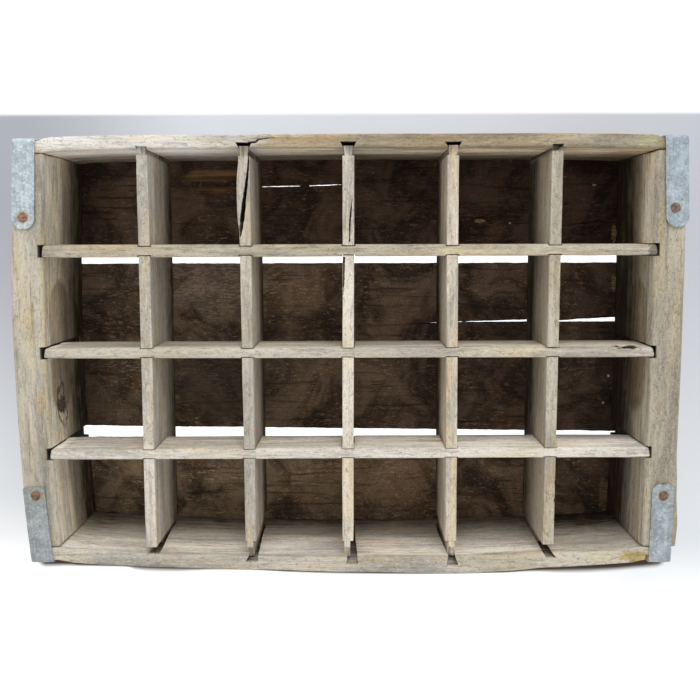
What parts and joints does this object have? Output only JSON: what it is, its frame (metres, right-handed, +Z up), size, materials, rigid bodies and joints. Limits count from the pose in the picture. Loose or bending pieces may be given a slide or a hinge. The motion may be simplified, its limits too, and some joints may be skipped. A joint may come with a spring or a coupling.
{
  "type": "wooden bottle crate",
  "caption": "Weathered open wooden crate with an eggcrate grid of halved dividers, slatted bottom, scooped hand-holds and zinc corner straps, for carrying bottles.",
  "frame": {"origin": "on the floor plane, under the middle of the whole crate's bounding box", "axes": "+Z up out of the open top, +X along the crate's length towards its right end, +Y across it towards the far side board"},
  "size_m": [0.4766, 0.3156, 0.103],
  "materials": {
    "wall_wood": "weathered bare wood, grey-beige with open grain and worn edges",
    "divider_wood": "weathered bare wood, grey-beige, splintered at the ends",
    "floor_wood": "dark stained bare wood, brown-black, dirty and cracked",
    "zinc_strap": "dull zinc-coated sheet steel, pale blue-grey",
    "rusty_nail": "rusty, matt red-brown"
  },
  "bodies": {
    "root": {"end_board_left": "wall_wood", "end_board_right": "wall_wood", "side_board_far": "wall_wood", "side_board_near": "wall_wood", "bottom_board_far": "floor_wood", "bottom_board_middle": "floor_wood", "bottom_board_near": "floor_wood", "cross_divider_1": "divider_wood", "cross_divider_2": "divider_wood", "cross_divider_3": "divider_wood", "cross_divider_4": "divider_wood", "cross_divider_5": "divider_wood", "long_divider_far": "divider_wood", "long_divider_middle": "divider_wood", "long_divider_near": "divider_wood", "corner_strap_far_left": "zinc_strap", "rim_strap_nail_far_left": "rusty_nail", "side_strap_nail_far_left": "rusty_nail", "side_nail_far_left_1": "rusty_nail", "side_nail_far_left_2": "rusty_nail", "corner_strap_far_right": "zinc_strap", "rim_strap_nail_far_right": "rusty_nail", "side_strap_nail_far_right": "rusty_nail", "side_nail_far_right_1": "rusty_nail", "side_nail_far_right_2": "rusty_nail", "corner_strap_near_left": "zinc_strap", "rim_strap_nail_near_left": "rusty_nail", "side_strap_nail_near_left": "rusty_nail", "side_nail_near_left_1": "rusty_nail", "side_nail_near_left_2": "rusty_nail", "corner_strap_near_right": "zinc_strap", "rim_strap_nail_near_right": "rusty_nail", "side_strap_nail_near_right": "rusty_nail", "side_nail_near_right_1": "rusty_nail", "side_nail_near_right_2": "rusty_nail", "bottom_nail_left_1": "rusty_nail", "bottom_nail_left_2": "rusty_nail", "bottom_nail_left_3": "rusty_nail", "bottom_nail_left_4": "rusty_nail", "bottom_nail_left_5": "rusty_nail", "bottom_nail_left_6": "rusty_nail", "bottom_nail_left_7": "rusty_nail", "bottom_nail_right_1": "rusty_nail", "bottom_nail_right_2": "rusty_nail", "bottom_nail_right_3": "rusty_nail", "bottom_nail_right_4": "rusty_nail", "bottom_nail_right_5": "rusty_nail", "bottom_nail_right_6": "rusty_nail", "bottom_nail_right_7": "rusty_nail"}
  },
  "joints": []
}
